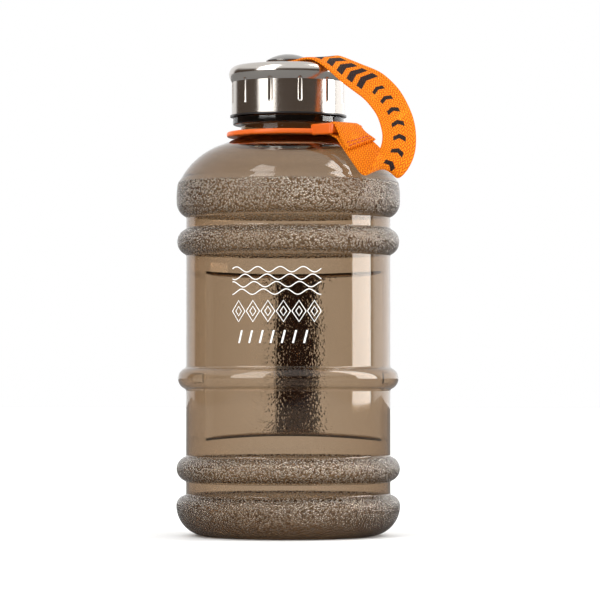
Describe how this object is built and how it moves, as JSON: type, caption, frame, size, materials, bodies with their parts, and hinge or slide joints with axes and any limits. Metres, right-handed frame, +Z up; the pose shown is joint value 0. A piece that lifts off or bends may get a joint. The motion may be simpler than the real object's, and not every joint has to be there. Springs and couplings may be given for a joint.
{
  "type": "large water jug",
  "caption": "Large ringed see-through water jug with a moulded back grip, a fluted steel screw cap and a webbing carry strap from neck ring to cap button.",
  "frame": {"origin": "centre of the foot, on the surface that the jug stands on", "axes": "+Z up along the neck and the cap's thread, -Y towards the printed front, +Y towards the grip at the back, +X to the right seen from the front"},
  "size_m": [0.1429, 0.1296, 0.2792],
  "materials": {
    "bottle_plastic": "clear smoke-brown plastic, polished, with grained bands",
    "ring_plastic": "glossy orange moulded plastic",
    "webbing": "orange woven webbing with dark printed bars",
    "thread": "dark orange sewing thread",
    "cap_steel": "brushed stainless steel",
    "insert_plastic": "black moulded plastic",
    "silicone": "soft pale silicone",
    "button_steel": "polished steel",
    "screw_steel": "plain steel"
  },
  "bodies": {
    "bottle": {"bottle": "bottle_plastic"},
    "ring": {"neck_ring": "ring_plastic", "strap_loop": "webbing", "strap_stitching": "thread"},
    "strap_end": {"strap_cap_end": "webbing"},
    "post": {"strap_button": "button_steel", "button_screw": "screw_steel", "button_washer": "screw_steel"},
    "cap": {"cap_shell": "cap_steel", "cap_insert": "insert_plastic", "cap_liner": "silicone"}
  },
  "joints": [
    {"name": "ring_swivel", "type": "hinge", "parent": "bottle", "child": "ring", "pos_m": [0, 0, 0.2322], "axis": [0, 0, 1], "continuous": true},
    {"name": "strap_lift", "type": "slide", "parent": "ring", "child": "strap_end", "axis": [0, 0, 1], "range_m": [0, 0.0061]},
    {"name": "cap_lift", "type": "slide", "parent": "bottle", "child": "post", "axis": [0, 0, 1], "range_m": [0, 0.0061]},
    {"name": "cap_turn", "type": "hinge", "parent": "post", "child": "cap", "pos_m": [0, 0, 0.2665], "axis": [0, 0, 1], "range_deg": [0, 540]}
  ],
  "couplings": [
    {"joint": "cap_lift", "follows": "cap_turn", "m_per_rad": 0.00063662},
    {"joint": "strap_lift", "follows": "cap_turn", "m_per_rad": 0.00063662}
  ]
}
